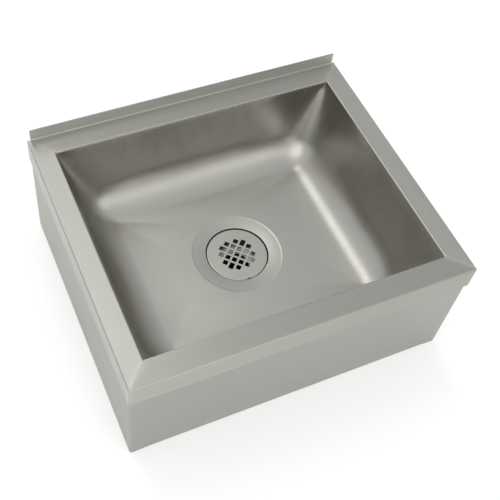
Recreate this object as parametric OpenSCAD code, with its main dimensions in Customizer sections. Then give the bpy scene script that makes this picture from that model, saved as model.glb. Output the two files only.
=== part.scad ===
// Floor-standing mop service sink in bent and drawn stainless sheet.
// Millimetres. The origin is on the floor, in the middle of the footprint.
// +X is to the right, +Y is towards the wall, +Z is up.

/* [Overall] */
// Width over the rim
width = 635; // [600:0.1:700]
// Depth over the rim, from the front to the wall
depth = 533.4; // [510:0.1:600]
// Height of the rim's outer edge above the floor
height = 254; // [248:0.1:320]
// Thickness of every sheet
sheet = 1.5; // [1.2:0.1:1.9]

/* [Rim] */
// Width of the bowl's opening
opening_w = 555; // [540:0.1:570]
// Depth of the bowl's opening, front to back
opening_d = 446; // [430:0.1:456]
// Height of the rim's turned-down apron
apron_h = 50.8; // [35:0.1:70]
// Height of the hem folded up inside the apron
hem_h = 12; // [8:0.1:18]
// Outer bend radius between the rim and its apron
edge_r = 3; // [2.5:0.1:4]
// Radius of the dressed weld at the rim's two front corners
rim_corner_r = 3; // [2.5:0.1:3.4]
// Height of the lip that the rim turns down into the opening
lip_h = 5; // [4:0.1:7]
// Bend radius between the rim and its lip
lip_r = 2.4; // [2:0.1:2.8]
// Height of the upturned tile edge above the rim
tile_h = 25.4; // [15:0.1:40]
// Inner bend radius at the foot of the tile edge
tile_r = 2.5; // [1.5:0.1:4]
// Radius of the tile edge's top corners
tile_corner_r = 3; // [1:0.1:6]
// How far the tile edge stops short of the rim's ends
tile_relief = 6.5; // [4:0.1:12]

/* [Bowl] */
// Depth of the bowl's floor below the rim
bowl_depth = 154.5; // [140:0.1:156]
// Radius of the coves and ball corners
cove_r = 72; // [60:0.1:80]
// Width of the floor between the side coves
floor_w = 370; // [340:0.1:385]
// Depth of the floor between the front and back coves
floor_d = 280; // [260:0.1:290]
// Corner radius at the top of the bowl
mouth_r = 4; // [2:0.1:8]
// Height of the upright band at the top of the bowl, below the rim's lip
mouth_band_h = 1; // [0.5:0.1:2]
// Fall of the floor from the coves to the drain dish
floor_fall = 1.5; // [1:0.1:4]

/* [Drain dish] */
// Radius of the dish pressed into the floor
dish_r = 87; // [80:0.1:95]
// Width of the flat land round the dish
land_w = 3; // [2.5:0.1:5]
// Width of the dish's soft outer step
step_w = 3; // [3:0.1:6]
// Fall over the outer step
step_fall = 0.5; // [0.3:0.1:1.5]
// Fall from the step to the recess
dish_fall = 1.5; // [0.8:0.1:3]
// Bend radius on both sides of the outer step
step_r = 3; // [2.5:0.1:5]
// Bend radius at the brink of the recess
brink_r = 2; // [2:0.1:3]
// Bend radius between the recess and its floor
seat_r = 1.5; // [0.8:0.1:2]
// Radius of the recess that takes the drain flange
recess_r = 60; // [57:0.1:64]
// Depth of the recess below the dish
recess_h = 9.6; // [8.8:0.1:10.5]

/* [Strainer plate] */
// Gap all round between the plate and the recess
plate_gap = 1.3; // [0.8:0.1:2]
// Clearance of the plate's edge above the drain flange
plate_rest = 0.4; // [0.3:0.1:0.6]
// Height of the plate over its turned-down edge
plate_h = 3.6; // [3.5:0.1:4.4]
// Outer radius of the plate's rolled edge
plate_edge_r = 3; // [2:0.1:3.4]
// Square holes in the longest row
hole_rows = 5; // [3:1:5]
// Side of a square hole
hole_w = 9.2; // [7:0.1:10]
// Distance between the holes' centres
hole_pitch = 13.4; // [12:0.1:14.5]
// Extra length of the middle hole on each side
hole_extra = 4.5; // [2:0.1:6]
// Width of the lifting notch in the plate's front edge
notch_w = 9; // [6:0.1:14]
// Depth of the lifting notch
notch_d = 1.4; // [1:0.1:2]

/* [Drain] */
// Thickness of the drain's flange
flange_h = 2.5; // [2:0.1:3.2]
// Gap all round between the flange and the recess
flange_gap = 1.8; // [1:0.1:2.5]
// Thickness of the seal under the flange
seal_h = 1; // [0.6:0.1:1.5]
// Outer radius of the threaded throat
throat_r = 44.4; // [42:0.1:46]
// Wall of the drain body and of the outlet's cone
drain_wall = 2.6; // [2:0.1:3.5]
// Depth of the cup inside, from the flange's top to the outlet's mouth
cup_depth = 32.4; // [28:0.1:34]
// Fall of the cup's floor from its wall to the outlet
cup_fall = 6; // [3:0.1:8]
// Outer radius of the outlet pipe
outlet_r = 30.15; // [28:0.05:31]
// Wall of the outlet pipe
outlet_wall = 3.9; // [3:0.1:4.5]
// Length of the outlet pipe below the cone
outlet_l = 40; // [30:0.1:42]
// Radial clearance of the throat in the bowl, the washers and the locknut
throat_gap = 0.8; // [0.5:0.1:1.2]
// Outer radius of the rubber gasket below the bowl
gasket_r = 58; // [55:0.1:60]
// Thickness of the rubber gasket
gasket_h = 4; // [3:0.1:4.4]
// Thickness of the friction washer
washer_h = 1; // [0.6:0.1:1.4]
// How far the friction washer stops short of the gasket's edge
washer_inset = 1; // [0.5:0.1:2]
// Outer radius of the locknut's ring
nut_r = 56; // [53:0.1:58]
// Height of the locknut
nut_h = 10; // [8:0.1:11]
// Wall of the locknut's threaded sleeve
nut_sleeve_w = 5; // [4:0.1:7]
// Height of the locknut's ring below its lugs
nut_ring_h = 5; // [4:0.1:6]
// Number of lugs round the locknut
nut_lugs = 6; // [4:1:8]
// Width of a lug
lug_w = 12; // [9:0.1:16]
// How far a lug stands out from the ring
lug_out = 6; // [4:0.1:9]

/* [Skirt] */
// Outer bend radius of the skirt's front corners
skirt_corner_r = 5; // [3:0.1:9]
// Width of the flange turned in along the floor
foot_w = 25; // [18:0.1:35]
// Outer bend radius at the foot
foot_r = 2.5; // [2.2:0.1:4]
// Gap between the rear panel's top flange and the back of the rim's lip
top_flange_gap = 2; // [1:0.1:6]
// Gap between the skirt's top edge and the rim's underside
skirt_top_gap = 0.5; // [0.3:0.1:1]

/* [Hidden] */
$fn = 96;
// Facets round a ball corner of the bowl
corner_fn = 48;
// How far a cut runs past the face it cuts, and a joining shape into its neighbour
cut = 1;

// Rim widths at the sides, and at the front and back
side_rim_w = (width - opening_w) / 2;
end_rim_w = (depth - opening_d) / 2;
// The skirt stands against the hem, two sheets in from the apron's face
skirt_in = 2 * sheet;

// Heights above the floor
rim_under = height - sheet;
panel_top = rim_under - skirt_top_gap;
bowl_top = height - lip_h;
bowl_floor = height - bowl_depth;
dish_top = bowl_floor - floor_fall;
recess_top = dish_top - step_fall - dish_fall;
recess_floor = recess_top - recess_h;
flange_bottom = recess_floor + seal_h;
flange_top = flange_bottom + flange_h;
cup_floor = flange_top - cup_depth;
throat_end = cup_floor + cup_fall;
outlet_end = cup_floor - drain_wall - outlet_l;
gasket_top = recess_floor - sheet;
washer_top = gasket_top - gasket_h;
nut_top = washer_top - washer_h;

plate_r = recess_r - plate_gap;
flange_r = recess_r - flange_gap;
throat_hole_r = throat_r + throat_gap;
// The drawn bowl's hole for the dish, which laps over the hole's edge
dish_hole_r = dish_r + land_w - 1;
dish_lap = 0.5;
steel = [0.68, 0.68, 0.65];
polished_steel = [0.74, 0.74, 0.72];

// ---- Bent sheet -------------------------------------------------------

// Unit vector at an angle
function dir(angle) = [cos(angle), sin(angle)];

// Heading of the leg that leaves corner i
function heading(face, i) =
    let (leg = face[i + 1] - face[i]) atan2(leg.y, leg.x);

// How far the sheet turns at corner i, left being positive
function turn(face, i) =
    let (a = heading(face, i) - heading(face, i - 1))
    a > 180 ? a - 360 : a < -180 ? a + 360 : a;

// Step at corner i that moves both of its legs by one to the left
function side_step(face, i) =
    i == 0 ? dir(heading(face, 0) + 90)
    : i == len(face) - 1 ? dir(heading(face, i - 1) + 90)
    : dir(heading(face, i) - turn(face, i) / 2 + 90) / cos(turn(face, i) / 2);

// The corner of a bend beyond its arc, out to a reach from the bend's centre.
// The circle runs a hair past its tangent points, so that no step is left.
module beyond_arc(centre, r, reach, from, to) difference() {
    half = (to - from) / 2;
    polygon([centre, centre + reach * dir(from),
        centre + reach / cos(half) * dir(from + half), centre + reach * dir(to)]);
    translate(centre) circle(r = r + 0.002);
}

// Section of one bent sheet. The points are the corners of the face that
// shows, the radii are its bends, and the sheet lies to the left of the path.
module sheet_section(face, radii) {
    last = len(face) - 1;
    difference() {
        union() {
            polygon(concat(face, [for (i = [last:-1:0]) face[i] + sheet * side_step(face, i)]));
            for (i = [1:last - 1]) bend(face, radii[i], i, false);
        }
        for (i = [1:last - 1]) bend(face, radii[i], i, true);
    }
}

// What corner i's bend adds on its inner side, or takes off on its outer side
module bend(face, r, i, outer) {
    angle = turn(face, i);
    side = angle > 0 ? -1 : 1;
    inner_r = angle > 0 ? r - sheet : r;
    arc_r = outer ? inner_r + sheet : inner_r;
    from = heading(face, i - 1) + side * 90;
    beyond_arc(face[i] - side * r * side_step(face, i), arc_r,
        arc_r + (outer ? cut : sheet / 2), from + min(angle, 0), from + max(angle, 0));
}

// Sections are drawn as distance in from the outer edge against height above
// the floor. These put them along the left, right, front and rear sides.
module along_left(y1, y2) translate([-width / 2, y2, 0]) rotate([90, 0, 0]) linear_extrude(y2 - y1) children();
module along_right(y1, y2) mirror([1, 0, 0]) along_left(y1, y2) children();
module along_front(x1, x2) translate([x1, -depth / 2, 0]) rotate([90, 0, 90]) linear_extrude(x2 - x1) children();
module along_rear(x1, x2) mirror([0, 1, 0]) along_front(x1, x2) children();

// ---- Rim --------------------------------------------------------------

// Rim with its lip and apron, and the hem folded up inside the apron
module rim_section(rim_w) {
    foot = height - apron_h + sheet;
    sheet_section([[rim_w, bowl_top], [rim_w, height], [0, height], [0, foot]], [0, lip_r, edge_r, 0]);
    translate([sheet, foot]) circle(r = sheet);
    translate([sheet, foot]) square([sheet, hem_h]);
}

// Rear rim, which turns up into the tile edge
module rear_rim_section()
    sheet_section([[end_rim_w, bowl_top], [end_rim_w, height], [sheet, height],
        [sheet, height + tile_h]], [0, lip_r, tile_r, 0]);

// Plan of the front rim between its mitres; the side rims use the same lines
module mitre(outer_l, outer_d, inner_l, inner_d)
    translate([0, 0, -cut]) linear_extrude(height + tile_h + 2 * cut)
        polygon([[-outer_l / 2, -outer_d / 2], [outer_l / 2, -outer_d / 2],
            [inner_l / 2, -inner_d / 2], [-inner_l / 2, -inner_d / 2]]);

module front_back_mitre() mitre(width, depth, opening_w, opening_d);
module side_mitre() rotate(-90) mitre(depth, width, opening_d, opening_w);

// What dressing takes off the rim's two front corners
module front_corner_dressing()
    for (side = [-1, 1])
        translate([side * (width / 2 - rim_corner_r), rim_corner_r - depth / 2, -cut])
            linear_extrude(height + tile_h + 2 * cut) difference() {
                translate([side > 0 ? 0 : -2 * rim_corner_r, -2 * rim_corner_r]) square(2 * rim_corner_r);
                circle(r = rim_corner_r);
            }

module front_rim() color(steel) difference() {
    intersection() {
        along_front(-width / 2, width / 2) rim_section(end_rim_w);
        front_back_mitre();
    }
    front_corner_dressing();
}

module left_rim() color(steel) difference() {
    intersection() {
        along_left(-depth / 2, depth / 2) rim_section(side_rim_w);
        side_mitre();
    }
    front_corner_dressing();
}

module right_rim() mirror([1, 0, 0]) left_rim();

// Outline of the tile edge seen from the front, above the rim
module tile_outline() {
    half = width / 2 - tile_relief;
    top = height + tile_h;
    for (side = [-1, 1])
        translate([side * (half - tile_corner_r), top - tile_corner_r]) circle(r = tile_corner_r);
    translate([-half, height - cut]) square([2 * half, tile_h - tile_corner_r + cut]);
    translate([tile_corner_r - half, height]) square([2 * (half - tile_corner_r), tile_h]);
}

module rear_rim() color(steel) intersection() {
    along_rear(-width / 2, width / 2) rear_rim_section();
    mirror([0, 1, 0]) front_back_mitre();
    translate([0, depth / 2 + cut, 0]) rotate([90, 0, 0]) linear_extrude(depth) {
        tile_outline();
        translate([-width / 2 - cut, 0]) square([width + 2 * cut, height]);
    }
}

// ---- Skirt ------------------------------------------------------------

// Skirt panel with its foot turned in along the floor
module panel_section()
    sheet_section([[skirt_in, panel_top], [skirt_in, 0], [skirt_in + foot_w, 0]], [0, foot_r, 0]);

// The same panel where it has no foot
module plain_panel_section() translate([skirt_in, 0]) square([sheet, panel_top]);

// Rear panel, whose top flange lies against the rim's underside
module rear_panel_section() {
    inner = end_rim_w - sheet - top_flange_gap;
    sheet_section([[inner, rim_under], [skirt_in, rim_under], [skirt_in, 0], [skirt_in + foot_w, 0]],
        [0, foot_r, foot_r, 0]);
}

// Half widths of the skirt, of its straight front and of its front foot
skirt_half = width / 2 - skirt_in;
straight_half = skirt_half - skirt_corner_r;
foot_half = skirt_half - foot_w;
// Where the side panels start behind the front corners, and where they end
side_start = skirt_in + skirt_corner_r - depth / 2;
side_end = depth / 2 - skirt_in - sheet;

module front_panel() color(steel) {
    along_front(-foot_half, foot_half) panel_section();
    for (side = [0, 1]) mirror([side, 0, 0]) {
        along_front(foot_half, straight_half) plain_panel_section();
        translate([straight_half, side_start, 0]) linear_extrude(panel_top) intersection() {
            difference() {
                circle(r = skirt_corner_r);
                circle(r = skirt_corner_r - sheet);
            }
            translate([0, -skirt_corner_r]) square(skirt_corner_r);
        }
    }
}

module left_panel() color(steel) along_left(side_start, side_end) panel_section();

module right_panel() mirror([1, 0, 0]) left_panel();

// The rear panel closes the back and overlaps the side panels' ends
module rear_panel() color(steel) {
    along_rear(-foot_half, foot_half) rear_panel_section();
    for (side = [0, 1]) mirror([side, 0, 0])
        along_rear(foot_half, skirt_half) plain_panel_section();
}

// ---- Bowl -------------------------------------------------------------

// The lower half of a ball
module half_ball(r) rotate_extrude($fn = corner_fn) intersection() {
    circle(r = r, $fn = corner_fn);
    translate([0, -r]) square(r);
}

// The bowl's inner form, grown by a distance and standing some way over the
// mouth: ball corners at the floor, a nearly sharp mouth, and a disc that
// draws the floor down to the dish
module bowl_form(grow, over) hull() {
    for (sx = [-1, 1], sy = [-1, 1]) {
        translate([sx * floor_w / 2, sy * floor_d / 2, bowl_floor + cove_r]) half_ball(cove_r + grow);
        translate([sx * (opening_w / 2 - mouth_r), sy * (opening_d / 2 - mouth_r), bowl_top - mouth_band_h])
            cylinder(r = mouth_r + grow, h = mouth_band_h + over, $fn = corner_fn / 2);
    }
    translate([0, 0, dish_top - grow]) cylinder(r = dish_r + land_w, h = cut, $fn = corner_fn);
}

// Dish, recess and the seat of the drain flange, as radius against height
module dish_section()
    sheet_section([[dish_hole_r + dish_lap, dish_top], [dish_r, dish_top],
        [dish_r - step_w, dish_top - step_fall], [recess_r, recess_top],
        [recess_r, recess_floor], [throat_hole_r, recess_floor]],
        [0, step_r, step_r, brink_r, seat_r, 0]);

module bowl() color(steel) {
    difference() {
        bowl_form(sheet, 0);
        bowl_form(0, cut);
        translate([0, 0, dish_top - sheet - cut]) cylinder(r = dish_hole_r, h = sheet + 2 * cut);
    }
    rotate_extrude() dish_section();
}

// ---- Drain ------------------------------------------------------------

// Centres of the square holes along the plate's own two axes
hole_steps = [for (k = [0:hole_rows - 1]) k - (hole_rows - 1) / 2];
last_step = (hole_rows - 1) / 2;

// Square lattice with its four corner holes left out and the middle hole of
// each side lengthened outwards
module strainer_holes()
    for (a = hole_steps, b = hole_steps) {
        corner = abs(a) == last_step && abs(b) == last_step;
        extra_a = abs(a) == last_step && b == 0 ? hole_extra : 0;
        extra_b = abs(b) == last_step && a == 0 ? hole_extra : 0;
        if (!corner)
            translate([a * hole_pitch + sign(a) * extra_a / 2, b * hole_pitch + sign(b) * extra_b / 2])
                square([hole_w + extra_a, hole_w + extra_b], center = true);
    }

module strainer_plate() color(polished_steel) translate([0, 0, flange_top + plate_rest]) difference() {
    rotate_extrude()
        sheet_section([[plate_r, 0], [plate_r, plate_h], [0, plate_h]], [0, plate_edge_r, 0]);
    translate([0, 0, -cut]) linear_extrude(plate_h + 2 * cut) rotate(45) strainer_holes();
    translate([-notch_w / 2, -plate_r - cut, -cut]) cube([notch_w, notch_d + cut, plate_h + 2 * cut]);
}

// Flanged drain body with its threaded throat
module drain_body() color(polished_steel) rotate_extrude() {
    translate([throat_r - drain_wall, flange_bottom]) square([flange_r - throat_r + drain_wall, flange_h]);
    translate([throat_r - drain_wall, throat_end]) square([drain_wall, flange_top - throat_end]);
}

// Spun cone welded to the throat's end, with the outlet pipe below it
module outlet_reducer() color(polished_steel) rotate_extrude() difference() {
    union() {
        polygon([[0, cup_floor - drain_wall], [outlet_r, cup_floor - drain_wall],
            [throat_r, throat_end - drain_wall], [throat_r, throat_end], [0, throat_end]]);
        translate([0, outlet_end]) square([outlet_r, outlet_l + drain_wall]);
    }
    polygon([[-cut, throat_end + cut], [throat_r - drain_wall, throat_end + cut],
        [throat_r - drain_wall, throat_end], [outlet_r - outlet_wall, cup_floor],
        [outlet_r - outlet_wall, outlet_end - cut], [-cut, outlet_end - cut]]);
}

// Flat ring round the throat, hanging down from a height
module throat_ring(top, thickness, r) translate([0, 0, top - thickness]) difference() {
    cylinder(r = r, h = thickness);
    translate([0, 0, -cut]) cylinder(r = throat_hole_r, h = thickness + 2 * cut);
}

module flange_seal() color("dimgray") throat_ring(flange_bottom, seal_h, flange_r - sheet);

module drain_gasket() color("dimgray") throat_ring(gasket_top, gasket_h, gasket_r);

module friction_washer() color("tan") throat_ring(washer_top, washer_h, gasket_r - washer_inset);

module locknut() color("goldenrod") {
    throat_ring(nut_top, nut_ring_h, nut_r);
    difference() {
        union() {
            throat_ring(nut_top, nut_h, throat_hole_r + nut_sleeve_w);
            for (k = [0:nut_lugs - 1]) rotate(k * 360 / nut_lugs)
                translate([throat_hole_r + cut, -lug_w / 2, nut_top - nut_h])
                    cube([nut_r + lug_out - throat_hole_r - cut, lug_w, nut_h]);
        }
        translate([0, 0, nut_top - nut_h - cut]) cylinder(r = throat_hole_r, h = nut_h + 2 * cut);
    }
}

bowl();
front_rim();
rear_rim();
left_rim();
right_rim();
front_panel();
rear_panel();
left_panel();
right_panel();
strainer_plate();
drain_body();
outlet_reducer();
flange_seal();
drain_gasket();
friction_washer();
locknut();
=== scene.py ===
# A floor-standing mop service sink in brushed stainless sheet, with a coved
# bowl and a lift-out round strainer. Lengths are in metres, in the part's own
# frame; sizes that a designer would give in millimetres are written as N * MM.
from math import acos, atan2, cos, hypot, pi, radians, sin, tan

import bmesh
import bpy
from mathutils import Matrix, Vector, noise as soft_noise
from mathutils.geometry import delaunay_2d_cdt


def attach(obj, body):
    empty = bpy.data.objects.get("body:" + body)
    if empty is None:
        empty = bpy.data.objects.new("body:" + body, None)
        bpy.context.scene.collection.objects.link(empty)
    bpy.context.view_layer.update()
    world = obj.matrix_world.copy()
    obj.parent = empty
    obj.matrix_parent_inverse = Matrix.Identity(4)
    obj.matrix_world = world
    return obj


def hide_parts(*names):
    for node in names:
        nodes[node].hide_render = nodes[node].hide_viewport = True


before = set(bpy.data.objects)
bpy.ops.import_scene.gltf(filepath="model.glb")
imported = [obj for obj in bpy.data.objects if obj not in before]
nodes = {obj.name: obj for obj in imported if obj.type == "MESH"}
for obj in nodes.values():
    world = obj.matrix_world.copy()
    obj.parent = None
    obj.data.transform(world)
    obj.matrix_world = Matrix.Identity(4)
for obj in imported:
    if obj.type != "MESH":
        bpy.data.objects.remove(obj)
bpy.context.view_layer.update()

MM = 0.001
SHEET = 1.5 * MM

# ---- Camera -------------------------------------------------------------

IMAGE_SIDE = 500
FOCAL_PX = 881.6
CENTRE_PX = (213.0, 242.1)
SENSOR = 36.0
EYE = Vector((-0.5148, -0.8100, 1.4810))
LOOK = Vector((0.2842, 0.5017, -0.8170)).normalized()
RIGHT = Vector((0.9159, -0.3941, 0.0766)).normalized()


def add_camera():
    data = bpy.data.cameras.new("camera")
    data.sensor_width = SENSOR
    data.lens = FOCAL_PX / IMAGE_SIDE * SENSOR
    data.shift_x = (IMAGE_SIDE / 2 - CENTRE_PX[0]) / IMAGE_SIDE
    data.shift_y = (CENTRE_PX[1] - IMAGE_SIDE / 2) / IMAGE_SIDE
    camera = bpy.data.objects.new("camera", data)
    bpy.context.collection.objects.link(camera)
    back = -LOOK
    up = back.cross(RIGHT)
    turn = Matrix((RIGHT, up, back)).transposed()
    camera.matrix_world = Matrix.Translation(EYE) @ turn.to_4x4()
    bpy.context.scene.camera = camera


# ---- Node materials -----------------------------------------------------


def new_material(name):
    """An empty Principled material and its node tree and shader."""
    material = bpy.data.materials.new(name)
    material.use_nodes = True
    tree = material.node_tree
    return material, tree, tree.nodes["Principled BSDF"]


def add_node(tree, kind, **settings):
    node = tree.nodes.new(kind)
    for key, value in settings.items():
        setattr(node, key, value)
    return node


def noise(tree, scale, detail=2.0, roughness=0.5):
    """Noise over the piece's own coordinates, scaled per axis in cells a metre."""
    coords = add_node(tree, "ShaderNodeTexCoord")
    mapping = add_node(tree, "ShaderNodeMapping")
    mapping.inputs["Scale"].default_value = scale
    texture = add_node(tree, "ShaderNodeTexNoise")
    texture.inputs["Scale"].default_value = 1.0
    texture.inputs["Detail"].default_value = detail
    texture.inputs["Roughness"].default_value = roughness
    tree.links.new(coords.outputs["Object"], mapping.inputs["Vector"])
    tree.links.new(mapping.outputs["Vector"], texture.inputs["Vector"])
    return texture.outputs["Fac"]


def between(tree, value, low, high, start=0.3, end=0.7):
    """The value, mapped from start..end to low..high."""
    node = add_node(tree, "ShaderNodeMapRange")
    node.inputs["From Min"].default_value = start
    node.inputs["From Max"].default_value = end
    node.inputs["To Min"].default_value = low
    node.inputs["To Max"].default_value = high
    tree.links.new(value, node.inputs["Value"])
    return node.outputs["Result"]


def combine(tree, operation, *values):
    """A Math node over one or two values."""
    node = add_node(tree, "ShaderNodeMath", operation=operation)
    for value, socket in zip(values, node.inputs):
        tree.links.new(value, socket)
    return node.outputs["Value"]


def object_axes(tree):
    """The piece's own X, Y and Z, each as a value."""
    coords = add_node(tree, "ShaderNodeTexCoord")
    split = add_node(tree, "ShaderNodeSeparateXYZ")
    tree.links.new(coords.outputs["Object"], split.inputs["Vector"])
    return split.outputs


def blend_colour(tree, factor, dark, light):
    node = add_node(tree, "ShaderNodeMix", data_type="RGBA")
    node.inputs["A"].default_value = (*dark, 1)
    node.inputs["B"].default_value = (*light, 1)
    tree.links.new(factor, node.inputs["Factor"])
    return node.outputs["Result"]


def blend_over(tree, factor, surface, colour):
    """The surface's colour, with another colour over it by the factor."""
    node = add_node(tree, "ShaderNodeMix", data_type="RGBA")
    tree.links.new(factor, node.inputs["Factor"])
    tree.links.new(surface, node.inputs["A"])
    node.inputs["B"].default_value = (*colour, 1)
    return node.outputs["Result"]


def shade(colour, factor):
    return tuple(channel * factor for channel in colour)


def add_bump(tree, shader, height, strength, distance):
    bump = add_node(tree, "ShaderNodeBump")
    bump.inputs["Strength"].default_value = strength
    bump.inputs["Distance"].default_value = distance
    tree.links.new(height, bump.inputs["Height"])
    tree.links.new(bump.outputs["Normal"], shader.inputs["Normal"])


STEEL = (0.409, 0.404, 0.373)
WALL_BLOTCH = (0.368, 0.357, 0.325)
# How much lighter the ground welds are than the steel around them
GROUND_TINT = 1.1
# |x| - |y| along the rim's mitres
MITRE = 52.5 * MM


def grain_scale(grain, along, across):
    """Noise cells a metre along and across the grain."""
    return tuple(along if axis else across for axis in grain)


def dressed_mitres(tree):
    """1 along the diagonals where the rim's strips are welded and ground flush,
    0 away from them, with a ragged edge."""
    axes = object_axes(tree)
    apart = combine(
        tree, "SUBTRACT", combine(tree, "ABSOLUTE", axes["X"]), combine(tree, "ABSOLUTE", axes["Y"])
    )
    ragged = noise(tree, (60.0, 60.0, 60.0), detail=4.0, roughness=0.6)
    shift = between(tree, ragged, -MITRE - 5 * MM, -MITRE + 5 * MM)
    away = combine(tree, "ABSOLUTE", combine(tree, "ADD", apart, shift))
    return between(tree, away, 1.0, 0.0, start=1 * MM, end=12 * MM)


def wall_blotches(tree):
    """Upright darker blotches on the bowl's walls, fading out below 0.2 m, none on its floor."""
    blotches = noise(tree, (38.0, 38.0, 12.0), detail=4.0, roughness=0.55)
    marked = between(tree, blotches, 0.0, 1.0, start=0.42, end=0.68)
    on_wall = between(tree, object_axes(tree)["Z"], 0.0, 1.0, start=0.14, end=0.2)
    return combine(tree, "MULTIPLY", marked, on_wall)


def steel(
    name, roughness, grain, anisotropy=0.0, tint=1.0, streak=0.02, bump=0.05,
    mitred=False, blotched=False,
):
    """Brushed stainless steel with its grain along an axis: fine streaks in
    wider bands, faint clouds of handling marks, and reflections spread across
    the grain."""
    material, tree, shader = new_material(name)
    shader.inputs["Metallic"].default_value = 1.0
    streaks = noise(tree, grain_scale(grain, 12.0, 2000.0), detail=3.0, roughness=0.6)
    bands = noise(tree, grain_scale(grain, 5.0, 260.0), detail=4.0, roughness=0.6)
    clouds = noise(tree, (9.0, 9.0, 9.0), detail=3.0)

    brushed = combine(
        tree, "MULTIPLY", between(tree, streaks, 0.55, 1.0), between(tree, bands, 0.0, 1.0)
    )
    # tint lightens or darkens this copy of the steel; on the rims and skirts it is painted light
    # and shade
    dark = shade(STEEL, tint * (1 - streak))
    light = shade(STEEL, tint * (1 + streak))
    surface = blend_colour(tree, brushed, dark, light)
    if mitred:
        surface = blend_over(tree, dressed_mitres(tree), surface, shade(STEEL, tint * GROUND_TINT))
    # darker blotches over the bowl's walls, none on its floor
    if blotched:
        surface = blend_over(tree, wall_blotches(tree), surface, shade(WALL_BLOTCH, tint))
    tree.links.new(surface, shader.inputs["Base Color"])

    gloss = between(tree, clouds, roughness - 0.02, roughness + 0.03)
    total = combine(tree, "ADD", between(tree, bands, -0.03, 0.03), gloss)
    tree.links.new(total, shader.inputs["Roughness"])
    add_bump(tree, shader, streaks, bump, 0.02 * MM)
    if anisotropy:
        shader.inputs["Anisotropic"].default_value = anisotropy
        geometry = add_node(tree, "ShaderNodeNewGeometry")
        across_grain = add_node(tree, "ShaderNodeVectorMath", operation="CROSS_PRODUCT")
        tree.links.new(geometry.outputs["Normal"], across_grain.inputs[0])
        across_grain.inputs[1].default_value = grain
        tree.links.new(across_grain.outputs["Vector"], shader.inputs["Tangent"])
    return material


def rubber(name):
    material, tree, shader = new_material(name)
    pores = noise(tree, (600.0, 600.0, 600.0), detail=3.0)
    tree.links.new(
        blend_colour(tree, pores, (0.018, 0.018, 0.018), (0.03, 0.03, 0.029)),
        shader.inputs["Base Color"],
    )
    tree.links.new(between(tree, pores, 0.6, 0.75), shader.inputs["Roughness"])
    add_bump(tree, shader, pores, 0.3, 0.05 * MM)
    return material


def fibre(name):
    material, tree, shader = new_material(name)
    strands = noise(tree, (900.0, 300.0, 1500.0), detail=4.0)
    tree.links.new(
        blend_colour(tree, strands, (0.33, 0.22, 0.12), (0.52, 0.38, 0.23)),
        shader.inputs["Base Color"],
    )
    shader.inputs["Roughness"].default_value = 0.85
    add_bump(tree, shader, strands, 0.4, 0.08 * MM)
    return material


def brass(name):
    material, tree, shader = new_material(name)
    shader.inputs["Metallic"].default_value = 1.0
    cast = noise(tree, (350.0, 350.0, 350.0), detail=4.0)
    dulled = noise(tree, (40.0, 40.0, 40.0), detail=3.0)
    tree.links.new(
        blend_colour(tree, dulled, (0.42, 0.30, 0.13), (0.68, 0.52, 0.26)),
        shader.inputs["Base Color"],
    )
    tree.links.new(between(tree, dulled, 0.3, 0.5), shader.inputs["Roughness"])
    add_bump(tree, shader, cast, 0.35, 0.1 * MM)
    return material


ALONG_X = (1, 0, 0)
ALONG_Y = (0, 1, 0)
ALONG_Z = (0, 0, 1)


# ---- Mesh helpers -------------------------------------------------------

SHARP_ANGLE = radians(32)


def new_piece(name, mesh, material, slot, body, *replaced):
    """Puts a mesh in the scene as a piece that rides a body."""
    piece = bpy.data.objects.new(name, mesh)
    bpy.context.collection.objects.link(piece)
    mesh.materials.append(material)
    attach(piece, body)
    if replaced:
        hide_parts(*replaced)
    return piece


def finish_mesh(mesh):
    """Smooth shading, with an edge kept where faces meet at a real corner."""
    mesh.validate()
    mesh.shade_smooth()
    mesh.set_sharp_from_angle(angle=SHARP_ANGLE)


def applied(piece):
    """Turns the piece's modifiers into its mesh."""
    graph = bpy.context.evaluated_depsgraph_get()
    mesh = bpy.data.meshes.new_from_object(piece.evaluated_get(graph))
    piece.modifiers.clear()
    piece.data = mesh
    return mesh


def rounded(corners, radii, steps=6):
    """A polyline with its inner corners turned into arcs."""
    points = [Vector(corners[0])]
    for i in range(1, len(corners) - 1):
        here = Vector(corners[i])
        to_last = (Vector(corners[i - 1]) - here).normalized()
        to_next = (Vector(corners[i + 1]) - here).normalized()
        opening = to_last.angle(to_next)
        radius = radii[i - 1]
        if radius == 0:
            points.append(here)
            continue
        bisector = (to_last + to_next).normalized()
        centre = here + bisector * radius / sin(opening / 2)
        start = here + to_last * radius / tan(opening / 2) - centre
        end = here + to_next * radius / tan(opening / 2) - centre
        swept = start.angle_signed(end)
        for k in range(steps + 1):
            turned = start.copy()
            turned.rotate(Matrix.Rotation(-swept * k / steps, 2))
            points.append(centre + turned)
    points.append(Vector(corners[-1]))
    return points


def add_ring(bm, points):
    return [bm.verts.new(point) for point in points]


def join_rings(bm, first, second):
    """Quads between two closed rings of as many points."""
    for k in range(len(first)):
        following = (k + 1) % len(first)
        bm.faces.new((first[k], first[following], second[following], second[k]))


# ---- Bowl ---------------------------------------------------------------

RIM_TOP = 254 * MM
OPENING = (555 * MM, 446 * MM)
LIP = 5 * MM
MOUTH_R = 4 * MM
MOUTH_BAND = 1 * MM
COVE_R = 72 * MM
FLOOR = (370 * MM, 280 * MM)
BOWL_FLOOR = RIM_TOP - 154.5 * MM
FLOOR_FALL = 1.5 * MM
DISH_R = 87 * MM
LAND = 3 * MM
DISH_TOP = BOWL_FLOOR - FLOOR_FALL
RECESS_R = 60 * MM
RECESS_TOP = DISH_TOP - 2 * MM
RECESS_FLOOR = RECESS_TOP - 9.6 * MM
THROAT_HOLE_R = 45.2 * MM

CORNER_COLUMNS = 28
SIDE_COLUMNS = {True: 26, False: 18}
ARC_END = radians(87)
# How far a hand-finished corner eases into its walls, in corner radii
EASE = 1.6
# 8 - 8 cos(45 deg): keeps the eased corner's middle on the round corner
EASE_MIDDLE = 2.343
WAVE = 0.7 * MM
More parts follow.
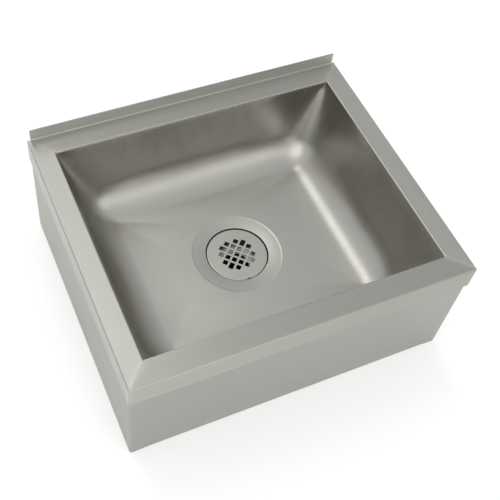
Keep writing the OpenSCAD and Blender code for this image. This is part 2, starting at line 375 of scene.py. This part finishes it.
# Waves a metre round the bowl and down its walls
WAVE_SCALE = (22, 9)
WALL_STEPS = 8
COVE_STEPS = 24
FLOOR_STEPS = 16
# Where the dish's rings start, beside the first corner's middle
RING_START = radians(41.8)


def at(xy, z):
    return Vector((xy.x, xy.y, z))


def eased_corner(t):
    """A unit corner that eases from one wall into the next: place and outward direction."""
    handle = (4 * EASE - EASE_MIDDLE) / 3
    start, end = Vector((1, 1 - EASE)), Vector((1 - EASE, 1))
    second, third = start + Vector((0, handle)), end + Vector((handle, 0))
    u = 1 - t
    place = start * u**3 + second * 3 * u * u * t + third * 3 * u * t * t + end * t**3
    along = (second - start) * u * u + (third - second) * 2 * u * t + (end - third) * t * t
    return place, Vector((along.y, -along.x)).normalized()


def hand_finish(point, outward, share):
    """The slight waves that polishing leaves in a wall, none at its two ends."""
    around, down = WAVE_SCALE
    stretched = Vector((point.x * around, point.y * around, point.z * down))
    wave = soft_noise.noise(stretched) * WAVE * sin(pi * share)
    return point + at(outward * wave, 0)


def wall_and_cove(place, outward, mouth, ball):
    """Points down one column, from the mouth to the end of the cove."""
    band_foot = RIM_TOP - LIP - MOUTH_BAND
    centre_z = BOWL_FLOOR + COVE_R
    reach = (mouth - ball).dot(outward) + MOUTH_R
    rise = band_foot - centre_z
    touch = acos(COVE_R / hypot(reach, rise)) - atan2(rise, reach)
    top = at(mouth + place * MOUTH_R, band_foot)
    tangent = at(ball + place * COVE_R * cos(touch), centre_z - COVE_R * sin(touch))
    points = [at(mouth + place * MOUTH_R, RIM_TOP - LIP)]
    points += [top.lerp(tangent, k / WALL_STEPS) for k in range(WALL_STEPS)]
    for k in range(COVE_STEPS + 1):
        turn = touch + (ARC_END - touch) * k / COVE_STEPS
        points.append(at(ball + place * COVE_R * cos(turn), centre_z - COVE_R * sin(turn)))
    return points


def finished_column(points):
    """A column with the waves of its wall and cove."""
    outward = (points[1].xy - points[-1].xy).normalized()
    last = len(points) - 1
    shares = [max(0, i - 1) / (last - 1) for i in range(last + 1)]
    return [hand_finish(point, outward, share) for point, share in zip(points, shares)]


def bowl_columns():
    """Columns of points round the bowl, from the mouth to the end of the coves."""
    corners = []
    for quarter in range(4):
        middle = radians(45 + 90 * quarter)
        sign = Vector((1 if cos(middle) > 0 else -1, 1 if sin(middle) > 0 else -1))
        ball = Vector((sign.x * FLOOR[0] / 2, sign.y * FLOOR[1] / 2))
        mouth = Vector((sign.x * (OPENING[0] / 2 - MOUTH_R), sign.y * (OPENING[1] / 2 - MOUTH_R)))
        turned = Matrix.Rotation(radians(90 * quarter), 2)
        corner = []
        for k in range(CORNER_COLUMNS + 1):
            place, outward = eased_corner(k / CORNER_COLUMNS)
            corner.append(wall_and_cove(turned @ place, turned @ outward, mouth, ball))
        corners.append(corner)
    columns = []
    for quarter, corner in enumerate(corners):
        columns += corner[:-1]
        following = corners[(quarter + 1) % 4][0]
        count = SIDE_COLUMNS[quarter % 2 == 0]
        for k in range(count):
            columns.append([a.lerp(b, k / count) for a, b in zip(corner[-1], following)])
    return [finished_column(column) for column in columns]


def floor_run(start, end):
    """Points from the cove's end to the dish, easing from one slope to the next."""
    run = hypot(end.x - start.x, end.y - start.y)
    drop = end.z - start.z
    first_slope = -run * tan(pi / 2 - ARC_END)
    last_slope = 0.6 * drop
    points = []
    for k in range(1, FLOOR_STEPS + 1):
        t = k / FLOOR_STEPS
        rise = first_slope * (t**3 - 2 * t**2 + t) + last_slope * (t**3 - t**2)
        rise += drop * (3 * t**2 - 2 * t**3)
        points.append(at(start.xy.lerp(end.xy, t), start.z + rise))
    return points


def dish_profile():
    """Radius and height from the dish's land to the hole for the drain."""
    return rounded(
        [
            (DISH_R + LAND, DISH_TOP),
            (DISH_R, DISH_TOP),
            (DISH_R - 3 * MM, DISH_TOP - 0.5 * MM),
            (RECESS_R, RECESS_TOP),
            (RECESS_R, RECESS_FLOOR),
            (THROAT_HOLE_R, RECESS_FLOOR),
        ],
        [8 * MM, 8 * MM, 1.2 * MM, 1.5 * MM],
    )


def make_bowl(material):
    columns = bowl_columns()
    count = len(columns)
    grid = []
    profile = dish_profile()
    for k, points in enumerate(columns):
        # the ring's angle, with the first corner's middle on the diagonal
        angle = 2 * pi * (k - CORNER_COLUMNS / 2) / count + RING_START
        way = Vector((cos(angle), sin(angle)))
        land = at(way * profile[0].x, profile[0].y)
        points += floor_run(points[-1], land)
        points += [at(way * p.x, p.y) for p in profile[1:]]
        grid.append(points)
    bm = bmesh.new()
    rings = [add_ring(bm, [column[i] for column in grid]) for i in range(len(grid[0]))]
    for upper, lower in zip(rings, rings[1:]):
        join_rings(bm, upper, lower)
    mesh = bpy.data.meshes.new("bowl_skin")
    bm.to_mesh(mesh)
    bm.free()
    piece = new_piece("bowl_skin", mesh, material, "bowl_steel", "sink", "bowl")
    thicken = piece.modifiers.new("sheet", "SOLIDIFY")
    thicken.thickness = SHEET
    thicken.offset = -1
    finish_mesh(applied(piece))
    return piece


# ---- Strainer -----------------------------------------------------------

PLATE_R = 58.7 * MM
PLATE_BOTTOM = 90.3 * MM
PLATE_H = 3.6 * MM
PLATE_EDGE_R = 1.8 * MM
HOLE = 9.2 * MM
PITCH = 13.4 * MM
HOLE_EXTRA = 4.5 * MM
HOLE_BREAK = 0.35 * MM
RING_POINTS = 216
NOTCH_W = 9 * MM
NOTCH_D = 1.4 * MM


def hole_outlines(grow):
    """The strainer's holes as closed outlines with small corner radii."""
    outlines = []
    steps = [-2, -1, 0, 1, 2]
    for a in steps:
        for b in steps:
            if abs(a) == 2 and abs(b) == 2:
                continue
            extra_a = HOLE_EXTRA if abs(a) == 2 and b == 0 else 0
            extra_b = HOLE_EXTRA if abs(b) == 2 and a == 0 else 0
            x = a * PITCH + (extra_a / 2 if a > 0 else -extra_a / 2)
            y = b * PITCH + (extra_b / 2 if b > 0 else -extra_b / 2)
            half_w = (HOLE + extra_a) / 2 + grow
            half_h = (HOLE + extra_b) / 2 + grow
            corner = 0.5 * MM + grow
            outline = []
            for quarter in range(4):
                sx = (1, -1, -1, 1)[quarter]
                sy = (1, 1, -1, -1)[quarter]
                for k in range(4):
                    turn = radians(90 * quarter + 30 * k)
                    outline.append(
                        Vector((
                            x + sx * (half_w - corner) + corner * cos(turn),
                            y + sy * (half_h - corner) + corner * sin(turn),
                        ))
                    )
            tilt = Matrix.Rotation(radians(45), 2)
            outlines.append([tilt @ p for p in outline])
    return outlines


def fill_face(bm, loops, flip):
    """Triangles between the first loop of vertices and the holes after it."""
    coords, edges, verts = [], [], []
    for loop in loops:
        first = len(coords)
        for k, vert in enumerate(loop):
            coords.append(vert.co.xy)
            verts.append(vert)
            edges.append((first + k, first + (k + 1) % len(loop)))
    out = delaunay_2d_cdt(coords, edges, [], 2, 1e-7)
    faces, origins = out[2], out[3]
    lookup = [verts[origin[0]] for origin in origins]
    hole_of = {vert: n for n, loop in enumerate(loops) for vert in loop}
    flat = []
    for face in faces:
        corners = [lookup[i] for i in face]
        holes = {hole_of[v] for v in corners}
        if len(holes) == 1 and 0 not in holes:
            continue
        if flip:
            corners.reverse()
        flat.append(bm.faces.new(corners))
    return flat


def notched_circle(radius):
    """A circle with the lifting notch pressed into its front."""
    points = []
    for k in range(RING_POINTS):
        angle = 2 * pi * k / RING_POINTS
        point = Vector((radius * cos(angle), radius * sin(angle)))
        if abs(point.x) < NOTCH_W / 2 and point.y < 0:
            point.y = NOTCH_D - radius
        points.append(point)
    return points


def make_strainer(material):
    bm = bmesh.new()
    top = PLATE_BOTTOM + PLATE_H
    edge = rounded(
        [
            (PLATE_R - PLATE_EDGE_R, top),
            (PLATE_R, top),
            (PLATE_R, PLATE_BOTTOM),
            (PLATE_R - SHEET, PLATE_BOTTOM),
            (PLATE_R - SHEET, top - SHEET),
            (PLATE_R - PLATE_EDGE_R, top - SHEET),
        ],
        [PLATE_EDGE_R * 0.999, 0.3 * MM, 0.3 * MM, PLATE_EDGE_R - SHEET * 1.001],
    )
    rings = []
    for point in edge[1:-1]:
        rings.append(add_ring(bm, [at(p, point.y) for p in notched_circle(point.x)]))
    for outer, inner in zip(rings, rings[1:]):
        join_rings(bm, inner, outer)
    top_loops, bottom_loops = [rings[0]], [rings[-1]]
    breaks = [
        (HOLE_BREAK, top),
        (HOLE_BREAK * 0.3, top - HOLE_BREAK * 0.3),
        (0, top - HOLE_BREAK),
        (0, top - SHEET),
    ]
    outlines = [hole_outlines(grow) for grow, _ in breaks]
    for n in range(len(outlines[0])):
        levels = []
        for (_, z), outline in zip(breaks, outlines):
            levels.append(add_ring(bm, [at(p, z) for p in outline[n]]))
        for upper, lower in zip(levels, levels[1:]):
            join_rings(bm, upper, lower)
        top_loops.append(levels[0])
        bottom_loops.append(levels[-1])
    flat = fill_face(bm, top_loops, False) + fill_face(bm, bottom_loops, True)
    bmesh.ops.recalc_face_normals(bm, faces=bm.faces)
    bm.faces.index_update()
    flat = [face.index for face in flat]
    mesh = bpy.data.meshes.new("strainer")
    bm.to_mesh(mesh)
    bm.free()
    finish_mesh(mesh)
    for index in flat:
        mesh.polygons[index].use_smooth = False
    return new_piece("strainer", mesh, material, "strainer_steel", "strainer", "strainer_plate")


# ---- Studio -------------------------------------------------------------

FLOOR_GLOW = 0.28
FLOOR_HALF = 8.0
# Half the patch of floor under the sink, which doesn't glow and is painted near black as shade
COVERED_HALF = (0.30, 0.25)


def soft_light(tree, direction, azimuth, elevation, half_angle, strength):
    """A round soft light in the studio's sky, brightest in its middle."""
    way = Vector((cos(radians(azimuth)), sin(radians(azimuth)), tan(radians(elevation))))
    facing = add_node(tree, "ShaderNodeVectorMath", operation="DOT_PRODUCT")
    facing.inputs[1].default_value = way.normalized()
    tree.links.new(direction, facing.inputs[0])
    glow = add_node(tree, "ShaderNodeMapRange", interpolation_type="SMOOTHERSTEP")
    glow.inputs["From Min"].default_value = cos(radians(half_angle))
    glow.inputs["To Max"].default_value = strength
    tree.links.new(facing.outputs["Value"], glow.inputs["Value"])
    return glow.outputs["Result"]


def add_world():
    """A studio sky that brightens overhead, with five soft lights in it.
    Azimuth 0 is to the sink's right and 90 is behind it."""
    world = bpy.data.worlds.new("studio")
    bpy.context.scene.world = world
    world.use_nodes = True
    tree = world.node_tree
    background = tree.nodes["Background"]
    direction = add_node(tree, "ShaderNodeTexCoord").outputs["Generated"]
    overhead = add_node(tree, "ShaderNodeVectorMath", operation="DOT_PRODUCT")
    overhead.inputs[1].default_value = Vector((-0.4, -0.25, 0.9)).normalized()
    tree.links.new(direction, overhead.inputs[0])
    light = between(tree, overhead.outputs["Value"], 0.34, 1.05, start=-0.5, end=1.0)
    over_left_shoulder = soft_light(tree, direction, -115, 47, 34, 1.05)
    from_right = soft_light(tree, direction, -50, 30, 28, 0.7)
    low_front = soft_light(tree, direction, -83, -5, 22, 4.8)
    behind = soft_light(tree, direction, 91, 25, 17, 6.0)
    above_behind = soft_light(tree, direction, 95, 63, 15, 2.15)
    for lamp in (over_left_shoulder, from_right, low_front, behind, above_behind):
        light = combine(tree, "ADD", light, lamp)
    tree.links.new(light, background.inputs["Strength"])
    background.inputs["Color"].default_value = (1, 1, 1, 1)


def floor_material(name, colour, glow):
    material, tree, shader = new_material(name)
    shader.inputs["Base Color"].default_value = (colour, colour, colour, 1)
    shader.inputs["Roughness"].default_value = 0.9
    shader.inputs["Specular IOR Level"].default_value = 0.1
    shader.inputs["Emission Color"].default_value = (1, 1, 1, 1)
    shader.inputs["Emission Strength"].default_value = glow
    return material


def add_floor():
    """A pale floor that glows softly, with a near-black, unlit patch of painted shade where the
    sink covers it.
    """
    mesh = bpy.data.meshes.new("floor")
    below = -0.4 * MM
    corners = []
    for half_x, half_y in ((FLOOR_HALF, FLOOR_HALF), COVERED_HALF):
        corners += [(-half_x, -half_y, below), (half_x, -half_y, below)]
        corners += [(half_x, half_y, below), (-half_x, half_y, below)]
    around = [(k, (k + 1) % 4, 4 + (k + 1) % 4, 4 + k) for k in range(4)]
    mesh.from_pydata(corners, [], around + [(4, 5, 6, 7)])
    mesh.materials.append(floor_material("pale_floor", 0.72, FLOOR_GLOW))
    # the patch under the sink: painted shade, near black and without glow, keeping the sink's
    # inside dark
    mesh.materials.append(floor_material("painted_shade_floor", 0.03, 0.0))
    mesh.polygons[4].material_index = 1
    floor = bpy.data.objects.new("floor", mesh)
    bpy.context.collection.objects.link(floor)


# ---- Assembly -----------------------------------------------------------


def dress(node, material):
    """Gives a carried-over node its material."""
    for slot in nodes[node].material_slots:
        slot.material = material


add_camera()
add_world()
add_floor()

bowl_steel = steel("bowl_steel", 0.31, ALONG_X, streak=0.006, bump=0.005, blotched=True)
# The rims and skirts are lighter and darker copies of one steel. The side rims' tint of 1.03 is
# painted light. The end rims' 0.98 and the skirts' 0.92 and 0.9 are painted shade.
end_rim_steel = steel(
    "end_rim_steel", 0.46, ALONG_X, anisotropy=0.85, tint=0.98, streak=0.05, mitred=True
)
side_rim_steel = steel(
    "side_rim_steel", 0.35, ALONG_Y, anisotropy=0.3, tint=1.03, streak=0.05, mitred=True
)
end_skirt_steel = steel(
    "end_skirt_steel", 0.4, ALONG_X, anisotropy=0.5, tint=0.92, streak=0.04
)
side_skirt_steel = steel(
    "side_skirt_steel", 0.4, ALONG_Y, anisotropy=0.5, tint=0.9, streak=0.04
)
strainer_steel = steel("strainer_steel", 0.3, ALONG_X, tint=1.05)
drain_steel = steel("drain_steel", 0.25, ALONG_Z)
seal_rubber = rubber("seal_rubber")

make_bowl(bowl_steel)
make_strainer(strainer_steel)
for node in ("front_rim", "rear_rim"):
    dress(node, end_rim_steel)
for node in ("left_rim", "right_rim"):
    dress(node, side_rim_steel)
for node in ("front_panel", "rear_panel"):
    dress(node, end_skirt_steel)
for node in ("left_panel", "right_panel"):
    dress(node, side_skirt_steel)
dress("drain_body", drain_steel)
dress("outlet_reducer", drain_steel)
dress("flange_seal", seal_rubber)
dress("drain_gasket", seal_rubber)
dress("friction_washer", fibre("washer_fibre"))
dress("locknut", brass("nut_brass"))

bpy.context.scene.view_settings.view_transform = "Standard"
